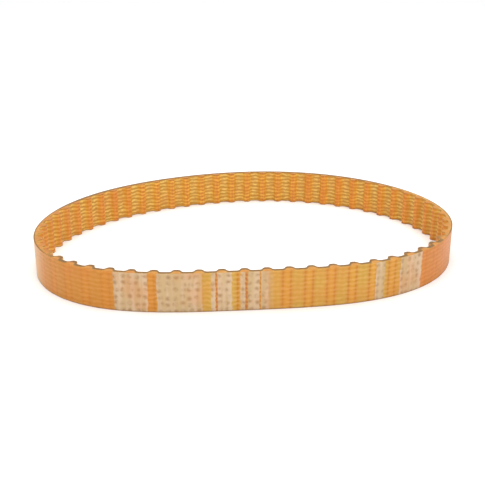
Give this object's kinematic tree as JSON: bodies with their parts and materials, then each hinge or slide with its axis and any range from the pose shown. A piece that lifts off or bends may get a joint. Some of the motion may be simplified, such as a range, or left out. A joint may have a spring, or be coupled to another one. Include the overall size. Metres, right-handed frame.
{
  "type": "toothed timing belt",
  "caption": "Endless toothed timing belt in translucent amber polyurethane with embedded cords, standing on edge as a relaxed oval loop.",
  "frame": {"origin": "the middle of the loop's box, on the surface that the belt stands on", "axes": "+X along the loop's long axis, +Z along the belt's width, upwards"},
  "size_m": [0.1104, 0.0832, 0.0095],
  "materials": {
    "polyurethane": "glossy translucent amber cast polyurethane",
    "steel_cord": "twisted bright steel cord"
  },
  "bodies": {
    "section_01": {"polyurethane_section_01": "polyurethane", "cord_section_01": "steel_cord"},
    "section_02": {"polyurethane_section_02": "polyurethane", "cord_section_02": "steel_cord"},
    "section_03": {"polyurethane_section_03": "polyurethane", "cord_section_03": "steel_cord"},
    "section_04": {"polyurethane_section_04": "polyurethane", "cord_section_04": "steel_cord"},
    "section_05": {"polyurethane_section_05": "polyurethane", "cord_section_05": "steel_cord"},
    "section_06": {"polyurethane_section_06": "polyurethane", "cord_section_06": "steel_cord"},
    "section_07": {"polyurethane_section_07": "polyurethane", "cord_section_07": "steel_cord"},
    "section_08": {"polyurethane_section_08": "polyurethane", "cord_section_08": "steel_cord"},
    "section_09": {"polyurethane_section_09": "polyurethane", "cord_section_09": "steel_cord"},
    "section_10": {"polyurethane_section_10": "polyurethane", "cord_section_10": "steel_cord"},
    "section_11": {"polyurethane_section_11": "polyurethane", "cord_section_11": "steel_cord"},
    "section_12": {"polyurethane_section_12": "polyurethane", "cord_section_12": "steel_cord"},
    "section_13": {"polyurethane_section_13": "polyurethane", "cord_section_13": "steel_cord"},
    "section_14": {"polyurethane_section_14": "polyurethane", "cord_section_14": "steel_cord"},
    "section_15": {"polyurethane_section_15": "polyurethane", "cord_section_15": "steel_cord"},
    "section_16": {"polyurethane_section_16": "polyurethane", "cord_section_16": "steel_cord"},
    "section_17": {"polyurethane_section_17": "polyurethane", "cord_section_17": "steel_cord"},
    "section_18": {"polyurethane_section_18": "polyurethane", "cord_section_18": "steel_cord"},
    "section_19": {"polyurethane_section_19": "polyurethane", "cord_section_19": "steel_cord"},
    "section_20": {"polyurethane_section_20": "polyurethane", "cord_section_20": "steel_cord"}
  },
  "joints": [
    {"name": "flex_16_17", "type": "hinge", "parent": "section_16", "child": "section_17", "pos_m": [-0.01299, 0.03873, 0.00476], "axis": [0, 0, 1], "range_deg": [-11.52, 2.88], "stiffness_Nm_per_rad": 0.01},
    {"name": "flex_17_18", "type": "hinge", "parent": "section_17", "child": "section_18", "pos_m": [-0.02723, 0.03359, 0.00476], "axis": [0, 0, 1], "range_deg": [-18.69, 4.68], "stiffness_Nm_per_rad": 0.01},
    {"name": "flex_18_19", "type": "hinge", "parent": "section_18", "child": "section_19", "pos_m": [-0.03974, 0.02508, 0.00476], "axis": [0, 0, 1], "range_deg": [-2.88, 11.51], "stiffness_Nm_per_rad": 0.01},
    {"name": "flex_19_20", "type": "hinge", "parent": "section_19", "child": "section_20", "pos_m": [-0.04916, 0.01322, 0.00476], "axis": [0, 0, 1], "range_deg": [-5.93, 23.72], "stiffness_Nm_per_rad": 0.01},
    {"name": "flex_20_01", "type": "hinge", "parent": "section_20", "child": "section_01", "pos_m": [-0.05406, -0.00113, 0.00476], "axis": [0, 0, 1], "range_deg": [-5.6, 22.4], "stiffness_Nm_per_rad": 0.01},
    {"name": "flex_01_02", "type": "hinge", "parent": "section_01", "child": "section_02", "pos_m": [-0.05268, -0.01621, 0.00476], "axis": [0, 0, 1], "range_deg": [-4.18, 16.69], "stiffness_Nm_per_rad": 0.01},
    {"name": "flex_02_03", "type": "hinge", "parent": "section_02", "child": "section_03", "pos_m": [-0.04401, -0.02862, 0.00476], "axis": [0, 0, 1], "range_deg": [-8.32, 2.08], "stiffness_Nm_per_rad": 0.01},
    {"name": "flex_03_04", "type": "hinge", "parent": "section_03", "child": "section_04", "pos_m": [-0.03044, -0.03554, 0.00476], "axis": [0, 0, 1], "range_deg": [-20.53, 5.14], "stiffness_Nm_per_rad": 0.01},
    {"name": "flex_04_05", "type": "hinge", "parent": "section_04", "child": "section_05", "pos_m": [-0.01539, -0.03842, 0.00476], "axis": [0, 0, 1], "range_deg": [-8.78, 2.2], "stiffness_Nm_per_rad": 0.01},
    {"name": "flex_15_16", "type": "hinge", "parent": "section_16", "child": "section_15", "pos_m": [0.00199, 0.04083, 0.00476], "axis": [0, 0, -1], "range_deg": [-9.22, 2.31], "stiffness_Nm_per_rad": 0.01},
    {"name": "flex_14_15", "type": "hinge", "parent": "section_15", "child": "section_14", "pos_m": [0.01702, 0.03945, 0.00476], "axis": [0, 0, -1], "range_deg": [-10.66, 2.67], "stiffness_Nm_per_rad": 0.01},
    {"name": "flex_13_14", "type": "hinge", "parent": "section_14", "child": "section_13", "pos_m": [0.03105, 0.0339, 0.00476], "axis": [0, 0, -1], "range_deg": [-18.27, 4.57], "stiffness_Nm_per_rad": 0.01},
    {"name": "flex_12_13", "type": "hinge", "parent": "section_13", "child": "section_12", "pos_m": [0.04273, 0.02437, 0.00476], "axis": [0, 0, -1], "range_deg": [-5.04, 1.26], "stiffness_Nm_per_rad": 0.01},
    {"name": "flex_11_12", "type": "hinge", "parent": "section_12", "child": "section_11", "pos_m": [0.05095, 0.01171, 0.00476], "axis": [0, 0, -1], "range_deg": [-5.89, 23.55], "stiffness_Nm_per_rad": 0.01},
    {"name": "flex_10_11", "type": "hinge", "parent": "section_11", "child": "section_10", "pos_m": [0.05437, -0.00298, 0.00476], "axis": [0, 0, -1], "range_deg": [-4.8, 19.2], "stiffness_Nm_per_rad": 0.01},
    {"name": "flex_09_10", "type": "hinge", "parent": "section_10", "child": "section_09", "pos_m": [0.0518, -0.01787, 0.00476], "axis": [0, 0, -1], "range_deg": [-5.45, 21.79], "stiffness_Nm_per_rad": 0.01},
    {"name": "flex_08_09", "type": "hinge", "parent": "section_09", "child": "section_08", "pos_m": [0.04322, -0.03034, 0.00476], "axis": [0, 0, -1], "range_deg": [-1.9, 7.6], "stiffness_Nm_per_rad": 0.01},
    {"name": "flex_07_08", "type": "hinge", "parent": "section_08", "child": "section_07", "pos_m": [0.03019, -0.03816, 0.00476], "axis": [0, 0, -1], "range_deg": [-16.78, 4.2], "stiffness_Nm_per_rad": 0.01},
    {"name": "flex_06_07", "type": "hinge", "parent": "section_07", "child": "section_06", "pos_m": [0.01516, -0.04082, 0.00476], "axis": [0, 0, -1], "range_deg": [-18.67, 4.67], "stiffness_Nm_per_rad": 0.01}
  ],
  "couplings": [
    {"joint": "flex_16_17", "follows": "flex_10_11", "ratio": -0.5996},
    {"joint": "flex_17_18", "follows": "flex_10_11", "ratio": -0.97301},
    {"joint": "flex_18_19", "follows": "flex_10_11", "ratio": 0.59931},
    {"joint": "flex_19_20", "follows": "flex_10_11", "ratio": 1.2349},
    {"joint": "flex_20_01", "follows": "flex_10_11", "ratio": 1.1665},
    {"joint": "flex_01_02", "follows": "flex_10_11", "ratio": 0.86921},
    {"joint": "flex_02_03", "follows": "flex_10_11", "ratio": -0.43321},
    {"joint": "flex_03_04", "follows": "flex_10_11", "ratio": -1.0693},
    {"joint": "flex_04_05", "follows": "flex_10_11", "ratio": -0.4571},
    {"joint": "flex_15_16", "follows": "flex_10_11", "ratio": -0.47995},
    {"joint": "flex_14_15", "follows": "flex_10_11", "ratio": -0.55487},
    {"joint": "flex_13_14", "follows": "flex_10_11", "ratio": -0.95149},
    {"joint": "flex_12_13", "follows": "flex_10_11", "ratio": -0.26216},
    {"joint": "flex_11_12", "follows": "flex_10_11", "ratio": 1.2263},
    {"joint": "flex_09_10", "follows": "flex_10_11", "ratio": 1.1346},
    {"joint": "flex_08_09", "follows": "flex_10_11", "ratio": 0.39564},
    {"joint": "flex_07_08", "follows": "flex_10_11", "ratio": -0.87381},
    {"joint": "flex_06_07", "follows": "flex_10_11", "ratio": -0.97203}
  ]
}
